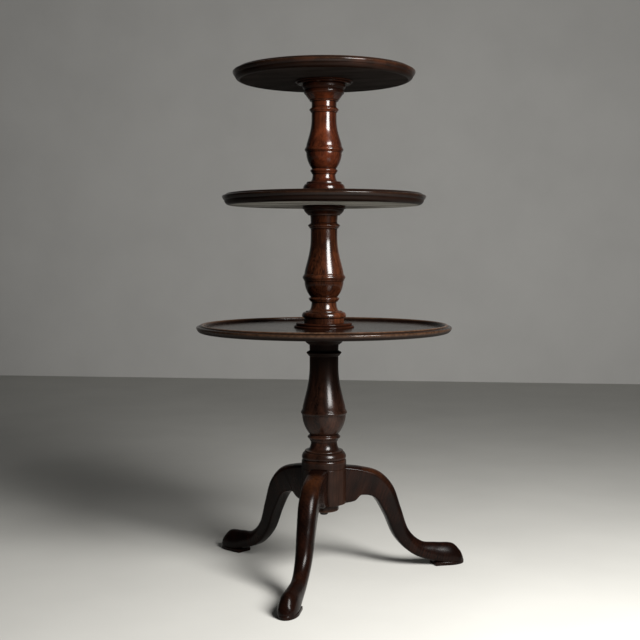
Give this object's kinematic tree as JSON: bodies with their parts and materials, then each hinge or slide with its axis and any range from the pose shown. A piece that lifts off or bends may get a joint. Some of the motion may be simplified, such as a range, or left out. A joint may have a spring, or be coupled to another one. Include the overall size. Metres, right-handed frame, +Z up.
{
  "type": "dumbwaiter table",
  "caption": "Tiered dumbwaiter side table: round dished trays of falling size that revolve on a turned baluster pillar with cabriole legs and pad feet.",
  "frame": {"origin": "on the floor under the middle of the whole table's outline; the pillar's axis stands 30.5 mm behind it, at y = 0.0305 m", "axes": "+Z is up along the pillar, -Y is the way the front leg points, +X is to the right seen from the front"},
  "size_m": [0.6378, 0.671, 1.2096],
  "materials": {
    "turned_wood": "polished dark mahogany",
    "tray_wood": "polished dark mahogany, worn lighter on the rims",
    "leg_wood": "polished near-black mahogany",
    "dark_iron": "darkened iron",
    "screw_steel": "dulled steel"
  },
  "bodies": {
    "stand": {"pillar": "turned_wood", "front_leg": "leg_wood", "right_leg": "leg_wood", "left_leg": "leg_wood", "end_bolt": "dark_iron", "middle_stem": "turned_wood", "top_stem": "turned_wood"},
    "bottom_tier": {"bottom_tray": "tray_wood", "middle_collar": "turned_wood"},
    "middle_tier": {"middle_tray": "tray_wood", "top_collar": "turned_wood"},
    "top_tier": {"top_tray": "tray_wood", "top_bearer": "turned_wood", "bearer_screw_1": "screw_steel", "bearer_screw_2": "screw_steel", "bearer_screw_3": "screw_steel", "bearer_screw_4": "screw_steel"}
  },
  "joints": [
    {"name": "bottom_tray_turn", "type": "hinge", "parent": "stand", "child": "bottom_tier", "pos_m": [0, 0.0305, 0.5875], "axis": [0, 0, 1], "continuous": true},
    {"name": "middle_tray_turn", "type": "hinge", "parent": "stand", "child": "middle_tier", "pos_m": [0, 0.0305, 0.8897], "axis": [0, 0, 1], "continuous": true},
    {"name": "top_tray_turn", "type": "hinge", "parent": "stand", "child": "top_tier", "pos_m": [0, 0.0305, 1.1749], "axis": [0, 0, 1], "continuous": true}
  ]
}
